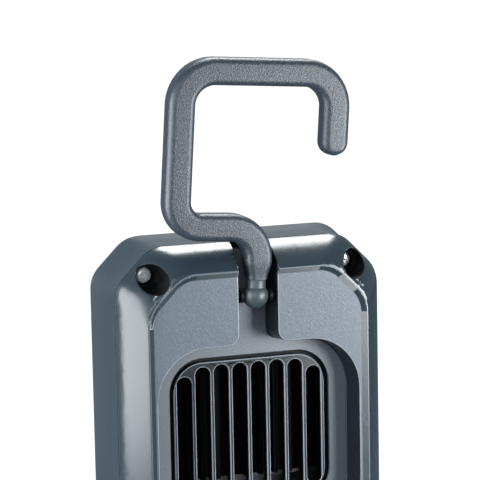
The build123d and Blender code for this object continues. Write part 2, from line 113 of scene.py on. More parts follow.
def makeDustGroup():
    # a few pale specks, each inside its own cell
    group, source, target = newShaderGroup("dustSpecks", {"Scale": 260.0, "Size": 0.06}, ["Mask"])
    cells = group.nodes.new("ShaderNodeTexVoronoi")
    group.links.new(group.nodes.new("ShaderNodeTexCoord").outputs["Object"], cells.inputs["Vector"])
    group.links.new(source.outputs["Scale"], cells.inputs["Scale"])
    parts = group.nodes.new("ShaderNodeSeparateColor")
    group.links.new(cells.outputs["Color"], parts.inputs["Color"])
    rare = mathNode(group, "POWER", parts.outputs["Red"], 6.0)
    reach = mathNode(group, "MULTIPLY", rare, source.outputs["Size"])
    mask = mathNode(group, "GREATER_THAN", reach, cells.outputs["Distance"])
    group.links.new(mask, target.inputs["Mask"])
    return group


def makeEdgeHighlightGroup():
    # 1 on sharp outside and inside edges, where a pale painted highlight is mixed into the colour
    group, source, target = newShaderGroup("edgeLine", {"Reach": 0.0004, "Gain": 3.0}, ["Mask"])
    rounded = group.nodes.new("ShaderNodeBevel")
    rounded.samples = 4
    group.links.new(source.outputs["Reach"], rounded.inputs["Radius"])
    plain = group.nodes.new("ShaderNodeNewGeometry")
    dot = group.nodes.new("ShaderNodeVectorMath")
    dot.operation = "DOT_PRODUCT"
    group.links.new(rounded.outputs["Normal"], dot.inputs[0])
    group.links.new(plain.outputs["Normal"], dot.inputs[1])
    lack = mathNode(group, "SUBTRACT", 1.0, dot.outputs["Value"], clamp=True)
    mask = mathNode(group, "MULTIPLY", lack, source.outputs["Gain"], clamp=True)
    group.links.new(mask, target.inputs["Mask"])
    return group


groups = {
    "grain": makeGrainGroup(),
    "mottle": makeMottleGroup(),
    "dust": makeDustGroup(),
    "edge": makeEdgeHighlightGroup(),
}


def placeGroup(tree, key, values):
    node = tree.nodes.new("ShaderNodeGroup")
    node.node_tree = groups[key]
    for label, value in values.items():
        node.inputs[label].default_value = value
    return node.outputs[0]


def mixColour(tree, factor, first, second):
    node = tree.nodes.new("ShaderNodeMix")
    node.data_type = "RGBA"
    tree.links.new(factor, node.inputs["Factor"])
    for socket, value in ((node.inputs["A"], first), (node.inputs["B"], second)):
        if isinstance(value, tuple):
            socket.default_value = (*value, 1.0)
        else:
            tree.links.new(value, socket)
    return node.outputs["Result"]


finishDefaults = {
    "metallic": 0.0, "specular": 0.5, "transmission": 0.0, "ior": 1.5, "mottle": 0.2, "mottleScale": 60.0,
    "speckle": 0.1, "grain": 0.1, "grainScale": 2200.0, "grainDepth": 0.00005,
}
dustColour = (0.45, 0.47, 0.5)
dustScale = 260.0


def makeFinish(name, changes):
    spec = dict(finishDefaults, **changes)
    material = bpy.data.materials.new(name)
    material.use_nodes = True
    tree = material.node_tree
    shader = tree.nodes["Principled BSDF"]
    shader.inputs["Metallic"].default_value = spec["metallic"]
    shader.inputs["Specular IOR Level"].default_value = spec["specular"]
    shader.inputs["Transmission Weight"].default_value = spec["transmission"]
    shader.inputs["IOR"].default_value = spec["ior"]
    mottle = placeGroup(tree, "mottle", {"Scale": spec["mottleScale"], "Amount": spec["mottle"]})
    speckle = placeGroup(tree, "mottle", {"Scale": spec["grainScale"], "Amount": spec["speckle"]})
    shade = tree.nodes.new("ShaderNodeVectorMath")
    shade.operation = "SCALE"
    shade.inputs[0].default_value = spec["colour"]
    tree.links.new(mathNode(tree, "MULTIPLY", mottle, speckle), shade.inputs["Scale"])
    colour = shade.outputs["Vector"]
    # a pale painted highlight along sharp edges
    if "edgeHighlightColour" in spec:
        edge = placeGroup(tree, "edge", {"Reach": spec["edgeHighlightReach"], "Gain": spec["edgeHighlightGain"]})
        colour = mixColour(tree, edge, colour, spec["edgeHighlightColour"])
    if "dust" in spec:
        dust = placeGroup(tree, "dust", {"Scale": dustScale, "Size": spec["dust"]})
        colour = mixColour(tree, dust, colour, dustColour)
    tree.links.new(colour, shader.inputs["Base Color"])
    gloss = mathNode(tree, "MULTIPLY", mottle, spec["roughness"], clamp=True)
    tree.links.new(gloss, shader.inputs["Roughness"])
    grain = placeGroup(tree, "grain", {"Scale": spec["grainScale"]})
    bump = tree.nodes.new("ShaderNodeBump")
    bump.inputs["Strength"].default_value = spec["grain"]
    bump.inputs["Distance"].default_value = spec["grainDepth"]
    tree.links.new(grain, bump.inputs["Height"])
    tree.links.new(bump.outputs["Normal"], shader.inputs["Normal"])
    return material


# the edge colours below are pale painted highlights, mixed in along sharp edges
finishSpecs = {
    "shellSatin": {"colour": (0.012, 0.02, 0.027), "roughness": 0.27, "mottle": 0.12, "speckle": 0.3,
                   "dust": 0.035, "edgeHighlightColour": (0.26, 0.3, 0.33), "edgeHighlightGain": 4.0, "edgeHighlightReach": 0.0003},
    "recessGrain": {"colour": (0.05, 0.064, 0.084), "roughness": 0.42, "grain": 0.8, "grainScale": 2600.0,
                    "grainDepth": 0.0001, "mottle": 0.16, "speckle": 1.5, "dust": 0.045,
                    "edgeHighlightColour": (0.34, 0.37, 0.41), "edgeHighlightGain": 4.0, "edgeHighlightReach": 0.0003},
    # painted highlight: a pale line on the rounded back rim of the shell
    "rimLine": {"colour": (0.07, 0.085, 0.1), "roughness": 0.3, "mottle": 0.3},
    # painted highlight: pale rounded edges of the recess, the pocket and the grille
    "brightEdge": {"colour": (0.2, 0.22, 0.25), "roughness": 0.3, "mottle": 0.3},
    # painted shade: near-black for wells, the parting seam, grille slot walls and flange, pivot pin and
    # washers
    "wellBlack": {"colour": (0.002, 0.003, 0.004), "roughness": 0.5, "specular": 0.12, "mottle": 0.2},
    # painted shade: the pocket's walls, darker than the same plastic on the shoulder
    "pocketWall": {"colour": (0.004, 0.008, 0.011), "roughness": 0.3, "dust": 0.04,
                   "edgeHighlightColour": (0.2, 0.23, 0.26), "edgeHighlightGain": 2.0, "edgeHighlightReach": 0.0003},
    # painted light: the pocket floor, lighter than the same grain on the recess face
    "pocketGrain": {"colour": (0.078, 0.09, 0.108), "roughness": 0.4, "grain": 0.7, "grainScale": 2600.0,
                    "grainDepth": 0.0001, "mottle": 0.2, "speckle": 1.5},
    "housingMatt": {"colour": (0.018, 0.026, 0.034), "roughness": 0.38, "grain": 0.3, "grainScale": 1800.0,
                    "grainDepth": 0.00008, "mottle": 0.15, "speckle": 0.3, "dust": 0.04},
    "bezelSatin": {"colour": (0.045, 0.052, 0.062), "roughness": 0.36, "grain": 0.2, "mottle": 0.15},
    "hookSpark": {"colour": (0.017, 0.024, 0.034), "roughness": 0.4, "grain": 1.0, "grainScale": 2500.0,
                  "grainDepth": 0.00015, "mottle": 0.16, "speckle": 3.0, "dust": 0.04},
    "ballSatin": {"colour": (0.027, 0.038, 0.047), "roughness": 0.42, "grain": 0.7, "grainScale": 2600.0,
                  "grainDepth": 0.0001, "mottle": 0.15, "speckle": 0.8},
    "grilleSatin": {"colour": (0.006, 0.009, 0.012), "roughness": 0.25, "mottle": 0.15, "dust": 0.04,
                    "edgeHighlightColour": (0.4, 0.44, 0.47), "edgeHighlightGain": 4.0, "edgeHighlightReach": 0.0002},
    "zincPlate": {"colour": (0.8, 0.82, 0.84), "roughness": 0.34, "metallic": 0.4, "grain": 0.8,
                  "grainScale": 3000.0, "mottle": 0.5, "mottleScale": 700.0},
    "darkSteel": {"colour": (0.02, 0.02, 0.022), "roughness": 0.5, "metallic": 1.0, "mottle": 0.3},
    "clearLens": {"colour": (0.93, 0.96, 0.97), "roughness": 0.06, "transmission": 1.0, "mottle": 0.03,
                  "grain": 0.05},
    "sealRubber": {"colour": (0.02, 0.02, 0.021), "roughness": 0.6, "grain": 0.3, "mottle": 0.2},
    "mirrorCups": {"colour": (0.86, 0.87, 0.89), "roughness": 0.12, "metallic": 1.0, "grain": 0.06,
                   "mottle": 0.1},
    "ledPhosphor": {"colour": (0.86, 0.66, 0.14), "roughness": 0.3, "mottle": 0.15, "mottleScale": 900.0},
    "blackAnodised": {"colour": (0.0008, 0.0008, 0.001), "roughness": 0.6, "specular": 0.05, "mottle": 0.2},
    "buttonRubber": {"colour": (0.5, 0.07, 0.03), "roughness": 0.5, "grain": 0.4, "mottle": 0.12},
    "lightPipe": {"colour": (0.7, 0.78, 0.72), "roughness": 0.2, "transmission": 0.6, "mottle": 0.05},
    "coverRubber": {"colour": (0.025, 0.027, 0.03), "roughness": 0.58, "grain": 0.4, "mottle": 0.2},
    "cellWrap": {"colour": (0.03, 0.16, 0.3), "roughness": 0.3, "mottle": 0.08},
    "trayPlastic": {"colour": (0.03, 0.03, 0.032), "roughness": 0.5, "mottle": 0.2},
    "nickelStrip": {"colour": (0.7, 0.68, 0.62), "roughness": 0.25, "metallic": 1.0, "mottle": 0.3},
    "boardGreen": {"colour": (0.02, 0.13, 0.06), "roughness": 0.35, "mottle": 0.25, "mottleScale": 400.0},
    "switchBlack": {"colour": (0.015, 0.015, 0.016), "roughness": 0.45, "mottle": 0.2},
    "portSteel": {"colour": (0.66, 0.67, 0.69), "roughness": 0.22, "metallic": 1.0, "mottle": 0.2},
}
finishes = {name: makeFinish(name, spec) for name, spec in finishSpecs.items()}
print("finishes made")


def linkMesh(name, mesh):
    piece = bpy.data.objects.new(name, mesh)
    bpy.context.scene.collection.objects.link(piece)
    return piece


def meshFrom(name, points, faces):
    mesh = bpy.data.meshes.new(name)
    mesh.from_pydata([tuple(p) for p in points], [], faces)
    return mesh


def tidyMesh(mesh, merge=0.00001):
    work = bmesh.new()
    work.from_mesh(mesh)
    bmesh.ops.remove_doubles(work, verts=work.verts, dist=merge)
    bmesh.ops.dissolve_degenerate(work, edges=work.edges, dist=merge)
    bmesh.ops.recalc_face_normals(work, faces=work.faces)
    work.to_mesh(mesh)
    work.free()


def bakeModifiers(piece):
    # the modifiers' result becomes the piece's own mesh
    graph = bpy.context.evaluated_depsgraph_get()
    mesh = bpy.data.meshes.new_from_object(piece.evaluated_get(graph))
    mesh.name = piece.name
    piece.modifiers.clear()
    piece.data = mesh
    return mesh


roundedFrom = math.radians(35)  # edges sharper than this are rounded
smoothBelow = 38  # degrees between faces that shade as one


def roundEdges(piece, width, segments=2):
    smoothShade(piece.data)
    bevel = piece.modifiers.new("roundEdges", "BEVEL")
    bevel.width = width
    bevel.segments = segments
    bevel.limit_method = "ANGLE"
    bevel.angle_limit = roundedFrom
    bevel.use_clamp_overlap = False
    bevel.miter_outer = "MITER_ARC"
    bakeModifiers(piece)


def smoothShade(mesh, angle=smoothBelow):
    mesh.shade_smooth()
    mesh.set_sharp_from_angle(angle=math.radians(angle))


def weightNormals(piece):
    weighted = piece.modifiers.new("weightedNormals", "WEIGHTED_NORMAL")
    weighted.keep_sharp = True
    bakeModifiers(piece)


def refillFlat(mesh, planeY, reach=0.00002):
    # long thin triangles left by the rounding are swapped for a clean fill of the flat
    work = bmesh.new()
    work.from_mesh(mesh)
    onPlane = {vertex for vertex in work.verts if abs(vertex.co.y - planeY) < reach}
    flats = [face for face in work.faces if all(vertex in onPlane for vertex in face.verts)]
    bmesh.ops.delete(work, geom=flats, context="FACES_KEEP_BOUNDARY")
    rim = [edge for edge in work.edges if len(edge.link_faces) == 1 and all(v in onPlane for v in edge.verts)]
    filled = bmesh.ops.triangle_fill(work, use_beauty=True, edges=rim, normal=(0, -1, 0))
    for item in filled["geom"]:
        if isinstance(item, bmesh.types.BMFace):
            item.smooth = True
            item.normal_update()
            if item.normal.y > 0:
                item.normal_flip()
    work.to_mesh(mesh)
    work.free()


def flattenNormals(mesh, flatness=0.9995):
    # flat faces keep their own normal, and the rounded edges beside them start from it
    normals = [corner.vector.copy() for corner in mesh.corner_normals]
    flatAt = {}
    for face in mesh.polygons:
        if abs(face.normal.y) > flatness:
            for vertex in face.vertices:
                flatAt[vertex] = face.normal.copy()
    for face in mesh.polygons:
        for corner, vertex in zip(face.loop_indices, face.vertices):
            flat = flatAt.get(vertex)
            if flat is not None and flat.dot(face.normal) > 0.6:
                normals[corner] = flat
    mesh.normals_split_custom_set(normals)


def finishedCopy(node, name, edgeWidth, segments=2, flats=()):
    # a merged copy of a CAD piece, with its moulded edges rounded
    mesh = frame["nodes"][node].data.copy()
    mesh.name = name
    mesh.materials.clear()
    work = bmesh.new()
    work.from_mesh(mesh)
    bmesh.ops.remove_doubles(work, verts=work.verts, dist=0.000002)
    work.to_mesh(mesh)
    work.free()
    piece = linkMesh(name, mesh)
    roundEdges(piece, edgeWidth, segments)
    for planeY in flats:
        refillFlat(piece.data, planeY)
    weightNormals(piece)
    flattenNormals(piece.data)
    return piece


def settle(piece, body, slot, *nodes):
    # the piece rides on its body and stands for its CAD nodes
    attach(piece, body)
    if nodes:
        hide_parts(*nodes)
    return piece


def paint(mesh, finishNames, chooser=None):
    mesh.materials.clear()
    for name in finishNames:
        mesh.materials.append(finishes[name])
    for face in mesh.polygons:
        face.material_index = chooser(face) if chooser else 0


def roundedRectangle(width, height, radius, steps=6):
    points = []
    for cornerX, cornerZ, start in ((1, 1, 0), (-1, 1, 90), (-1, -1, 180), (1, -1, 270)):
        for i in range(steps + 1):
            turn = math.radians(start + 90 * i / steps)
            x = cornerX * (width / 2 - radius) + radius * math.cos(turn)
            z = cornerZ * (height / 2 - radius) + radius * math.sin(turn)
            points.append((x, z))
    return points


def loftMesh(name, loops):
    # loops of equal length, joined by quads and capped at both ends
    count = len(loops[0])
    points = [p for loop in loops for p in loop]
    faces = []
    for i in range(len(loops) - 1):
        for j in range(count):
            k = (j + 1) % count
            faces.append((i * count + j, i * count + k, (i + 1) * count + k, (i + 1) * count + j))
    faces.append(tuple(range(count))[::-1])
    faces.append(tuple(range((len(loops) - 1) * count, len(loops) * count)))
    mesh = meshFrom(name, points, faces)
    tidyMesh(mesh)
    return mesh


foldJoint = next(j for j in frame["joints"] if j["name"] == "hook_fold")
ballCentre = Vector(foldJoint["pos_m"])

# the hook's bar, from the ball's centre; lean and arcStep are degrees
hookSpec = {
    "width": 9.2, "thickness": 8.0, "edgeRound": 2.3, "left": 29.4, "right": 25.0, "top": 74.6, "low": 23.0,
    "tip": 47.2, "topRadius": 11.4, "lowRadius": 8.4, "bendRadius": 10.5, "stemWidth": 6.8, "stemEnd": 5.7,
    "lean": 4.0, "arcStep": 4.0, "bendStart": 0.5, "taperSteps": 8, "tipSteps": 12,
}
roundSmooth = 50  # degrees, for the bar and the turned pieces


def hookPlace():
    return Matrix.Translation(ballCentre) @ Matrix.Rotation(math.radians(hookSpec["lean"]), 4, "Y")


def roundedPath(points, radii, step):
    # straight runs joined by arcs, as a list of (point, direction)
    stations = [(Vector(points[0]), (Vector(points[1]) - Vector(points[0])).normalized())]
    for i in range(1, len(points) - 1):
        here = Vector(points[i])
        into = (here - Vector(points[i - 1])).normalized()
        out = (Vector(points[i + 1]) - here).normalized()
        turn = into.angle_signed(out)
        trim = radii[i - 1] * math.tan(abs(turn) / 2)
        start = here - into * trim
        side = Vector((into.y, -into.x)) * (1 if turn > 0 else -1)
        centre = start + side * radii[i - 1]
        steps = max(2, round(math.degrees(abs(turn)) / step))
        for k in range(steps + 1):
            angle = -turn * k / steps
            spin = Matrix.Rotation(angle, 2)
            stations.append((centre + spin @ (start - centre), spin @ into))
    stations.append((Vector(points[-1]), (Vector(points[-1]) - Vector(points[-2])).normalized()))
    return stations


def makeHook():
    # one round-edged bar bent into a square C, which thins towards the ball
    s = hookSpec
    stemTop = s["low"] - s["bendRadius"] - s["bendStart"]
    tipRound = s["width"] / 2
    corners = [
        (0, stemTop), (0, s["low"]), (-s["left"], s["low"]), (-s["left"], s["top"]),
        (s["right"], s["top"]), (s["right"], s["tip"] + tipRound),
    ]
    radii = [s["bendRadius"], s["lowRadius"], s["topRadius"], s["topRadius"]]
    rows = []
    for i in range(s["taperSteps"]):
        share = i / s["taperSteps"]
        ease = share * share * (3 - 2 * share)
        z = s["stemEnd"] + (stemTop - s["stemEnd"]) * share
        width = s["stemWidth"] + (s["width"] - s["stemWidth"]) * ease
        thickness = s["stemWidth"] + (s["thickness"] - s["stemWidth"]) * ease
        rows.append((Vector((0, z)), Vector((0, 1)), width, thickness))
    for point, direction in roundedPath(corners, radii, s["arcStep"]):
        rows.append((point, direction, s["width"], s["thickness"]))
    last, heading = rows[-1][0], rows[-1][1]
    for i in range(1, s["tipSteps"] + 1):
        turn = math.pi / 2 * i / s["tipSteps"]
        ahead = tipRound * math.sin(turn)
        late = max(0.0, (ahead - tipRound + s["edgeRound"]) / s["edgeRound"])
        thickness = s["thickness"] - 2 * s["edgeRound"] * (1 - math.sqrt(max(0.0, 1 - late * late)))
        width = max(0.02, 2 * tipRound * math.cos(turn))
        rows.append((last + heading * ahead, heading, width, thickness))
    loops = []
    for point, direction, width, thickness in rows:
        side = Vector((direction.y, -direction.x))
        radius = min(s["edgeRound"], 0.49 * width, 0.49 * thickness)
        loop = []
        for across, depth in roundedRectangle(width, thickness, radius, 7):
            at = point + side * across
            loop.append(hookPlace() @ (Vector((at.x, depth, at.y)) * mm))
        loops.append(loop)
    mesh = loftMesh("hookBar", loops)
    smoothShade(mesh, roundSmooth)
    paint(mesh, ["hookSpark"])
    piece = linkMesh("hookBar", mesh)
    weightNormals(piece)
    return settle(piece, "hook", "hook_nylon", "hook")


def latheMesh(name, profile, place, turns=48):
    loops = []
    for radius, height in profile:
        loop = []
        for i in range(turns):
            angle = 2 * math.pi * i / turns
            loop.append(place @ (Vector((radius * math.cos(angle), radius * math.sin(angle), height)) * mm))
        loops.append(loop)
    return loftMesh(name, loops)


ballSpec = {
    "radius": 4.4, "neck": 3.3, "flare": 0.35, "blend": 0.9, "ledge": 0.3, "steps": 22, "blendSteps": 4,
}


def makePivotBall():
    # a ball turned in one piece with its neck, with a small fillet between them
    s = ballSpec
    profile = []
    meet = math.sqrt(s["radius"] ** 2 - (s["neck"] + s["flare"]) ** 2)
    top = math.asin(meet / s["radius"])
    for i in range(s["steps"] + 1):
        turn = -math.pi / 2 + (top + math.pi / 2) * i / s["steps"]
        profile.append((max(axisRadius, s["radius"] * math.cos(turn)), s["radius"] * math.sin(turn)))
    for i in range(1, s["blendSteps"] + 1):
        turn = math.pi / 2 * i / s["blendSteps"]
        radius = s["neck"] + s["flare"] * (1 - math.sin(turn))
        profile.append((radius, meet + s["blend"] * (1 - math.cos(turn))))
    neckTop = hookSpec["stemEnd"]
    profile += [(s["neck"], neckTop - s["ledge"]), (s["neck"] - 0.2, neckTop - 0.02)]
    profile.append((s["neck"] - 0.6, neckTop))
    mesh = latheMesh("pivotBall", profile, hookPlace())
    smoothShade(mesh, roundSmooth)
    paint(mesh, ["ballSatin"])
    return settle(linkMesh("pivotBall", mesh), "hook", "ball_plastic", "pivot_ball")


makeHook()
makePivotBall()
print("hook made")


# case screws, in millimetres; the wells in the back shell are found from them
screwSpec = {
    "headRadius": 2.75, "headHeight": 2.0, "shank": 1.45, "length": 11.0, "recess": 1.55, "recessWidth": 0.72,
    "recessDepth": 1.3, "recessTaper": 0.55, "crownFlat": 0.35, "crownDrop": 1.3, "crownPower": 1.2,
    "crownSteps": 10, "rimHeight": 0.25, "rimRound": 0.15, "tip": 0.6, "turns": 40, "seed": 7,
}


shellSpec = {
    "edgeRound": 0.3, "faceBelowRim": 1.2, "pocketFloorY": -6.2, "pocketHalf": 37.5, "pocketLow": 30.0,
    "pocketHigh": 120.0, "slotHalf": 7.5, "slotLow": 100.0, "lineWidth": 0.12, "seam": 0.3, "wellReach": 5.0,
    "wellFloorDepth": 2.0, "wallBelowFace": 0.3, "sameLevel": 0.05,
}
shellSizes = {name: size * mm for name, size in shellSpec.items()}


def makeBackShell():
    # each face of the shell gets its finish by where it lies and which way it looks
    s = shellSizes
    low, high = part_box("back_shell")
    faceY = low.y + s["faceBelowRim"]
    pocketY = s["pocketFloorY"]
    piece = finishedCopy("back_shell", "backShell", s["edgeRound"], flats=(faceY, pocketY))
    screwLow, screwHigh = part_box("body_screws")
    headRadius = screwSpec["headRadius"] * mm
    wellX = screwHigh.x - headRadius
    wellZ = (screwLow.z + headRadius, screwHigh.z - headRadius)

    def isInWell(centre, normal):
        for z in wellZ:
            across = Vector((centre.x - math.copysign(wellX, centre.x), 0, centre.z - z))
            facesIn = across.dot(normal) < -0.25 * across.length
            if across.length < s["wellReach"] and (facesIn or centre.y > faceY + s["wellFloorDepth"]):
                return True
        return False

    def choose(face):
        centre, normal = face.center, face.normal
        inPocket = abs(centre.x) < s["pocketHalf"] and s["pocketLow"] < centre.z < s["pocketHigh"]
        inSlot = abs(centre.x) < s["slotHalf"] and centre.z > s["slotLow"]
        recessed = inPocket or inSlot
        looksBack = normal.y < -0.98
        # the back rim gets a painted highlight
        if centre.y < low.y + s["lineWidth"]:
            return "rimLine"
        # the rounded edge into the recess and pocket gets a painted highlight
        if abs(centre.y - faceY) < s["lineWidth"] and -0.97 < normal.y < -0.3 and recessed:
            return "brightEdge"
        # faces at the parting seam get painted black shade
        if centre.y > high.y - s["seam"] and abs(normal.y) > 0.15:
            return "wellBlack"
        # the screw wells get painted black shade
        if isInWell(centre, normal):
            return "wellBlack"
        if looksBack and abs(centre.y - faceY) < s["sameLevel"]:
            return "recessGrain"
        # the pocket floor gets painted light, lighter than the recess face
        if looksBack and abs(centre.y - pocketY) < s["sameLevel"] and recessed:
            return "pocketGrain"
        # the pocket's walls get painted shade
        if recessed and centre.y > faceY + s["wallBelowFace"]:
            return "pocketWall"
        return "shellSatin"

    names = ["shellSatin", "recessGrain", "pocketWall", "pocketGrain", "wellBlack", "brightEdge", "rimLine"]
    paint(piece.data, names, lambda face: names.index(choose(face)))
    return settle(piece, "light", "shell_plastic", "back_shell")


frontEdges = {"housing": 0.3, "bezel": 0.25, "lens": 0.2, "button": 0.15, "cover": 0.2}  # mm


def makeFrontShells():
    # the housing's edge at the parting line gets painted black shade, like the shell's
    housing = finishedCopy("front_housing", "frontHousing", frontEdges["housing"] * mm)
    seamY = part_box("front_housing")[0].y + shellSizes["seam"]
    paint(housing.data, ["housingMatt", "wellBlack"], lambda face: face.center.y < seamY)
    settle(housing, "light", "housing_plastic", "front_housing")
    bezel = finishedCopy("front_bezel", "frontBezel", frontEdges["bezel"] * mm)
    paint(bezel.data, ["bezelSatin"])
    settle(bezel, "light", "bezel_plastic", "front_bezel")
    lens = finishedCopy("lens", "lampLens", frontEdges["lens"] * mm)
    paint(lens.data, ["clearLens"])
    settle(lens, "light", "clear_lens", "lens")
    button = finishedCopy("power_button", "powerButton", frontEdges["button"] * mm)
    paint(button.data, ["buttonRubber"])
    settle(button, "button", "button_rubber", "power_button")
    cover = finishedCopy("port_cover", "portCover", frontEdges["cover"] * mm)
    paint(cover.data, ["coverRubber"])
    settle(cover, "port_cover", "cover_rubber", "port_cover")


makeBackShell()
makeFrontShells()
print("shells made")


# what repeats is made by trees of geometry nodes

def newTree(name, inputs):
    tree = bpy.data.node_groups.new(name, "GeometryNodeTree")
    face = tree.interface
    face.new_socket("Geometry", in_out="INPUT", socket_type="NodeSocketGeometry")
    for label, (kind, value) in inputs.items():
        socket = face.new_socket(label, in_out="INPUT", socket_type="NodeSocket" + kind)
        if value is not None:
            socket.default_value = value
    face.new_socket("Geometry", in_out="OUTPUT", socket_type="NodeSocketGeometry")
    return tree, tree.nodes.new("NodeGroupInput"), tree.nodes.new("NodeGroupOutput")


def runTree(name, tree, values, base=None):
    # a new piece made by the tree, baked to a plain mesh
    piece = linkMesh(name, base or bpy.data.meshes.new(name))
    modifier = piece.modifiers.new(name, "NODES")
    modifier.node_group = tree
    for item in tree.interface.items_tree:
        if item.in_out == "INPUT" and item.name in values:
            modifier[item.identifier] = values[item.name]
    bakeModifiers(piece)
    return piece


def feed(tree, node, links):
    # links: socket name or index -> output socket or plain value
    for key, value in links.items():
        socket = node.inputs[key]
        if hasattr(value, "is_output"):
            tree.links.new(value, socket)
        else:
            socket.default_value = value
    return node


def endTree(tree, target, geometry, finish):
    real = feed(tree, tree.nodes.new("GeometryNodeRealizeInstances"), {"Geometry": geometry})
    coat = feed(tree, tree.nodes.new("GeometryNodeSetMaterial"),
                {"Geometry": real.outputs[0], "Material": finish})
    tree.links.new(coat.outputs[0], target.inputs["Geometry"])


# drop is how fast the outer slots shorten, per millimetre past dropFrom
grilleSpec = {
    "slots": 8, "rib": 1.3, "frame": 1.25, "corner": 10.2, "slotRound": 2.6, "drop": 0.031, "dropFrom": 13.0,
    "flange": 2.95, "flangeDepth": 1.6, "edge": 0.32,
}


def quadCurve(tree, width, height):
    section = tree.nodes.new("GeometryNodeCurvePrimitiveQuadrilateral")
    return feed(tree, section, {"Width": width, "Height": height}).outputs[0]


def filletCurve(tree, curve, radius, count=8):
    rounded = tree.nodes.new("GeometryNodeFilletCurve")
    rounded.mode = "POLY"
    return feed(tree, rounded, {"Curve": curve, "Count": count, "Radius": radius}).outputs[0]


def sumNode(tree, operation, first, second):
    node = tree.nodes.new("ShaderNodeMath")
    node.operation = operation
    return feed(tree, node, {0: first, 1: second}).outputs[0]


def makePlateTree():
    # a rounded plate pierced by a row of round-ended slots, which get shorter towards the plate's corners
    tree, source, target = newTree("slottedPlate", {
        "Width": ("Float", 0.05), "Height": ("Float", 0.045), "Corner": ("Float", 0.01),
        "Depth": ("Float", 0.003),
        "Slots": ("Int", 8), "Pitch": ("Float", 0.0066), "Slot Width": ("Float", 0.005),
        "Slot Height": ("Float", 0.043), "Slot Round": ("Float", 0.002), "Drop": ("Float", 30.0),
        "Drop From": ("Float", 0.013), "Finish": ("Material", None),
    })
    out = source.outputs
    outline = filletCurve(tree, quadCurve(tree, out["Width"], out["Height"]), out["Corner"], 10)
    reach = sumNode(tree, "MULTIPLY", sumNode(tree, "SUBTRACT", out["Slots"], 1.0), out["Pitch"])
    start = feed(tree, tree.nodes.new("ShaderNodeCombineXYZ"), {"X": sumNode(tree, "MULTIPLY", reach, -0.5)})
    step = feed(tree, tree.nodes.new("ShaderNodeCombineXYZ"), {"X": out["Pitch"]})
    row = feed(tree, tree.nodes.new("GeometryNodeMeshLine"),
               {"Count": out["Slots"], "Start Location": start.outputs[0], "Offset": step.outputs[0]})
    place = tree.nodes.new("GeometryNodeInputPosition")
    split = feed(tree, tree.nodes.new("ShaderNodeSeparateXYZ"), {0: place.outputs[0]})
    side = sumNode(tree, "ABSOLUTE", split.outputs["X"], 0.0)
    past = sumNode(tree, "MAXIMUM", sumNode(tree, "SUBTRACT", side, out["Drop From"]), 0.0)
    drop = sumNode(tree, "MULTIPLY", sumNode(tree, "MULTIPLY", past, past), out["Drop"])
    tall = sumNode(tree, "SUBTRACT", out["Slot Height"], sumNode(tree, "MULTIPLY", drop, 2.0))
    size = feed(tree, tree.nodes.new("ShaderNodeCombineXYZ"), {"X": out["Slot Width"], "Y": tall, "Z": 1.0})
    spread = feed(tree, tree.nodes.new("GeometryNodeInstanceOnPoints"),
                  {"Points": row.outputs[0], "Instance": quadCurve(tree, 1.0, 1.0), "Scale": size.outputs[0]})
    real = feed(tree, tree.nodes.new("GeometryNodeRealizeInstances"), {"Geometry": spread.outputs[0]})
    slots = filletCurve(tree, real.outputs[0], out["Slot Round"], 9)
    curves = tree.nodes.new("GeometryNodeJoinGeometry")
    tree.links.new(outline, curves.inputs[0])
    tree.links.new(slots, curves.inputs[0])
    filled = feed(tree, tree.nodes.new("GeometryNodeFillCurve"), {"Curve": curves.outputs[0]})
    deep = feed(tree, tree.nodes.new("ShaderNodeCombineXYZ"), {"Z": out["Depth"]})
    raised = feed(tree, tree.nodes.new("GeometryNodeExtrudeMesh"),
                  {"Mesh": filled.outputs[0], "Offset": deep.outputs[0], "Offset Scale": 1.0,
                   "Individual": False})
    foot = feed(tree, tree.nodes.new("GeometryNodeFlipFaces"), {"Mesh": filled.outputs[0]})
    both = tree.nodes.new("GeometryNodeJoinGeometry")
    tree.links.new(raised.outputs["Mesh"], both.inputs[0])
    tree.links.new(foot.outputs[0], both.inputs[0])
    whole = feed(tree, tree.nodes.new("GeometryNodeMergeByDistance"),
                 {"Geometry": both.outputs[0], "Distance": 1e-6})
    endTree(tree, target, whole.outputs[0], out["Finish"])
    return tree


def plateFinish(normal):
    # dark front, a pale painted highlight on the rounded edges, painted black shade on the slot walls
    if normal.y < -0.97:
        return "grilleSatin"
    return "brightEdge" if normal.y < -0.3 else "wellBlack"


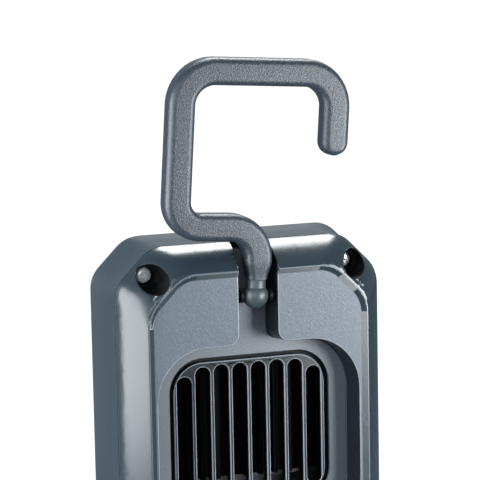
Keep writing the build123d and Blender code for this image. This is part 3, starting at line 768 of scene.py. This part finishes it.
def makeGrille():
    # the plate that shows, and the wider flange behind the pocket's floor that holds it
    low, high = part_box("vent_grille")
    s = grilleSpec
    width = high.x - low.x - 2 * s["flange"] * mm
    height = high.z - low.z - 2 * s["flange"] * mm
    pitch = (width - (2 * s["frame"] - s["rib"]) * mm) / s["slots"]
    sizes = {
        "Width": width, "Height": height, "Corner": s["corner"] * mm, "Depth": high.y - low.y,
        "Slots": s["slots"], "Pitch": pitch, "Slot Width": pitch - s["rib"] * mm,
        "Slot Height": height - 2 * s["frame"] * mm,
        "Slot Round": s["slotRound"] * mm, "Drop": s["drop"] / mm, "Drop From": s["dropFrom"] * mm,
        "Finish": finishes["grilleSatin"],
    }
    tree = makePlateTree()
    plate = runTree("ventGrille", tree, sizes)
    # stood up, with its front towards -Y
    middle = Vector((0, high.y, (low.z + high.z) / 2))
    plate.data.transform(Matrix.Translation(middle) @ Matrix.Rotation(math.radians(90), 4, "X"))
    tidyMesh(plate.data)
    roundEdges(plate, s["edge"] * mm, 2)
    names = ["grilleSatin", "brightEdge", "wellBlack"]
    paint(plate.data, names, lambda face: names.index(plateFinish(face.normal)))
    settle(plate, "light", "grille_plastic", "vent_grille")
    flangeWidth = high.x - low.x
    flangeSizes = dict(sizes, Width=flangeWidth, Height=high.z - low.z, Depth=s["flangeDepth"] * mm,
                       Corner=(s["corner"] + s["flange"]) * mm)
    flange = runTree("grilleFlange", tree, flangeSizes)
    flange.data.transform(Matrix.Translation(middle) @ Matrix.Rotation(math.radians(90), 4, "X"))
    tidyMesh(flange.data)
    smoothShade(flange.data)
    # the flange behind the pocket's floor is painted black shade
    paint(flange.data, ["wellBlack"])
    settle(flange, "light", "grille_plastic")


makeGrille()
print("grille made")


def cutWith(piece, cutter):
    cut = piece.modifiers.new("cut", "BOOLEAN")
    cut.operation = "DIFFERENCE"
    cut.solver = "EXACT"
    cut.object = cutter
    bakeModifiers(piece)
    bpy.data.objects.remove(cutter)


def makeScrewPattern():
    # one pan-head screw with a cross recess, its seat at the origin
    s = screwSpec
    profile = [(axisRadius, -s["headHeight"])]
    flat = s["crownFlat"] * s["headRadius"]
    bulge = s["headRadius"] - flat
    for i in range(1, s["crownSteps"] + 1):
        turn = math.pi / 2 * i / s["crownSteps"]
        fall = s["crownDrop"] * (1 - math.cos(turn)) ** s["crownPower"]
        profile.append((flat + bulge * math.sin(turn), fall - s["headHeight"]))
    profile += [(s["headRadius"], -s["rimHeight"]), (s["headRadius"] - s["rimRound"], 0.0), (s["shank"], 0.0)]
    profile += [(s["shank"], s["length"] - s["tip"]), (axisRadius, s["length"])]
    pattern = linkMesh("screwPattern", latheMesh("screwPattern", profile, Matrix.Identity(4), s["turns"]))
    for quarter in (0, 90):
        wide, thin = s["recess"], s["recessWidth"] / 2
        top, bottom = -s["headHeight"] - 1, -s["headHeight"] + s["recessDepth"]
        loops = []
        for height, share in ((top, 1.0), (bottom, s["recessTaper"])):
            reach = wide * share
            ring = [(-reach, -thin), (reach, -thin), (reach, thin), (-reach, thin)]
            spin = Matrix.Rotation(math.radians(quarter), 4, "Z")
            loops.append([spin @ (Vector((x, y, height)) * mm) for x, y in ring])
        cutter = linkMesh("recess", loftMesh("recess", loops))
        cutWith(pattern, cutter)
    # driven along +Y
    pattern.data.transform(Matrix.Rotation(math.radians(-90), 4, "X"))
    tidyMesh(pattern.data)
    smoothShade(pattern.data, 40)
    return pattern


def makeScrewTree():
    tree, source, target = newTree("screwSeats", {
        "Screw": ("Object", None), "Seed": ("Int", 1), "Finish": ("Material", None),
    })
    out = source.outputs
    info = feed(tree, tree.nodes.new("GeometryNodeObjectInfo"), {"Object": out["Screw"]})
    turn = tree.nodes.new("FunctionNodeRandomValue")
    turn.data_type = "FLOAT"
    feed(tree, turn, {2: 0.0, 3: math.pi, "Seed": out["Seed"]})
    spin = feed(tree, tree.nodes.new("ShaderNodeCombineXYZ"), {"Y": turn.outputs[1]})
    euler = feed(tree, tree.nodes.new("FunctionNodeEulerToRotation"), {0: spin.outputs[0]})
    spread = feed(tree, tree.nodes.new("GeometryNodeInstanceOnPoints"), {
        "Points": out["Geometry"], "Instance": info.outputs["Geometry"], "Rotation": euler.outputs[0]})
    endTree(tree, target, spread.outputs[0], out["Finish"])
    return tree


def makeBodyScrews():
    low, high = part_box("body_screws")
    s = screwSpec
    x = high.x - s["headRadius"] * mm
    seatY = low.y + s["headHeight"] * mm
    seats = []
    for z in (low.z + s["headRadius"] * mm, high.z - s["headRadius"] * mm):
        seats += [(x, seatY, z), (-x, seatY, z)]
    pattern = makeScrewPattern()
    base = meshFrom("bodyScrews", seats, [])
    screws = runTree("bodyScrews", makeScrewTree(),
                     {"Screw": pattern, "Seed": s["seed"], "Finish": finishes["zincPlate"]}, base)
    bpy.data.objects.remove(pattern)
    smoothShade(screws.data, 40)
    settle(screws, "light", "zinc_steel", "body_screws")


makeBodyScrews()
print("screws made")


# the other nodes keep their CAD shape and get a finish

keptFinishes = {
    "lens_gasket": "sealRubber", "reflector": "mirrorCups", "led_board": "switchBlack", "leds": "ledPhosphor",
    # the pivot pin and washers are painted black shade, to sit hidden in the slot's shadow
    "heat_sink": "blackAnodised", "pivot_pin": "wellBlack", "pivot_washers": "wellBlack",
    "shell_seal": "sealRubber", "lamp_screws": "zincPlate",
    "board_screws": "zincPlate", "battery_cell": "cellWrap", "battery_tray": "trayPlastic",
    "battery_contacts": "nickelStrip", "control_board": "boardGreen", "tact_switch": "switchBlack",
    "gauge_lights": "lightPipe", "charge_port": "portSteel", "charge_board": "boardGreen",
    "port_cover_pin": "darkSteel",
}
for node, finish in keptFinishes.items():
    slots = frame["nodes"][node].material_slots
    for slot in slots:
        slot.link = "OBJECT"
        slot.material = finishes[finish]
print("kept pieces finished")


# metres and watts
stageSpec = {
    "floorSize": 12.0, "floorColour": (0.06, 0.065, 0.07), "floorRoughness": 0.7, "lightsAimAt": 0.11,
    "lightTint": (0.95, 0.99, 1.0), "surroundTint": (0.72, 0.9, 1.0), "surroundStrength": 0.32,
}
white = (1.0, 1.0, 1.0)


def makeFloor():
    half = stageSpec["floorSize"] / 2
    corners = [(-half, -half, 0), (half, -half, 0), (half, half, 0), (-half, half, 0)]
    floor = linkMesh("floor", meshFrom("floor", corners, [(0, 1, 2, 3)]))
    material = bpy.data.materials.new("paleFloor")
    material.use_nodes = True
    shader = material.node_tree.nodes["Principled BSDF"]
    shader.inputs["Base Color"].default_value = (*stageSpec["floorColour"], 1)
    shader.inputs["Roughness"].default_value = stageSpec["floorRoughness"]
    shader.inputs["Emission Color"].default_value = (*white, 1)
    # seen straight on the floor is white, but it throws little light of its own on the object
    ray = material.node_tree.nodes.new("ShaderNodeLightPath")
    material.node_tree.links.new(ray.outputs["Is Camera Ray"], shader.inputs["Emission Strength"])
    floor.data.materials.append(material)


lightSpecs = {
    "keyBox": {"azimuth": 41, "elevation": -1, "distance": 0.4, "size": 0.18, "power": 3.1},
    "leftBox": {"azimuth": -80, "elevation": 4, "distance": 0.26, "size": 0.24, "power": 2.1},
    "backBox": {"azimuth": 148, "elevation": 60, "distance": 1.0, "size": 0.5, "power": 16},
    "fillBox": {"azimuth": -22, "elevation": 14, "distance": 0.8, "size": 0.4, "power": 2.0},
}


def makeLights():
    aim = Vector((0, 0, stageSpec["lightsAimAt"]))
    for name, spec in lightSpecs.items():
        turn, rise = math.radians(spec["azimuth"]), math.radians(spec["elevation"])
        out = Vector((math.sin(turn) * math.cos(rise), -math.cos(turn) * math.cos(rise), math.sin(rise)))
        data = bpy.data.lights.new(name, "AREA")
        data.shape = "SQUARE"
        data.size = spec["size"]
        data.energy = spec["power"]
        data.color = stageSpec["lightTint"]
        light = bpy.data.objects.new(name, data)
        light.location = aim + out * spec["distance"]
        light.rotation_euler = (-out).to_track_quat("-Z", "Y").to_euler()
        bpy.context.scene.collection.objects.link(light)
    world = bpy.data.worlds.new("studio")
    world.use_nodes = True
    # a cool dim surround for reflections, seen straight on as plain white
    tree = world.node_tree
    ray = tree.nodes.new("ShaderNodeLightPath").outputs["Is Camera Ray"]
    backdrop = tree.nodes["Background"]
    tree.links.new(mixColour(tree, ray, stageSpec["surroundTint"], white), backdrop.inputs["Color"])
    strength = mathNode(tree, "MAXIMUM", ray, stageSpec["surroundStrength"])
    tree.links.new(strength, backdrop.inputs["Strength"])
    bpy.context.scene.world = world


# degrees, metres and the lens's millimetres; the aim is off the ball's centre in millimetres
cameraSpec = {
    "azimuth": -20.0, "elevation": 9.0, "distance": 0.9, "lens": 202.5, "roll": 1.13, "aimRight": -4.66,
    "aimUp": 18.5, "sensor": 36.0, "nearest": 0.05,
}


def makeCamera():
    s = cameraSpec
    turn, rise = math.radians(s["azimuth"]), math.radians(s["elevation"])
    back = Vector((math.sin(turn) * math.cos(rise), -math.cos(turn) * math.cos(rise), math.sin(rise)))
    right = Vector((0, 0, 1)).cross(back).normalized()
    up = back.cross(right)
    aim = ballCentre + (right * s["aimRight"] + up * s["aimUp"]) * mm
    roll = math.radians(s["roll"])
    tilted = right * math.cos(roll) - up * math.sin(roll)
    place = Matrix((tilted, back.cross(tilted), back)).transposed().to_4x4()
    place.translation = aim + back * s["distance"]
    data = bpy.data.cameras.new("camera")
    data.lens = s["lens"]
    data.sensor_width = s["sensor"]
    data.clip_start = s["nearest"]
    camera = bpy.data.objects.new("camera", data)
    camera.matrix_world = place
    bpy.context.scene.collection.objects.link(camera)
    bpy.context.scene.camera = camera


makeFloor()
makeLights()
makeCamera()
bpy.context.scene.view_settings.view_transform = "Standard"
print("stage made")
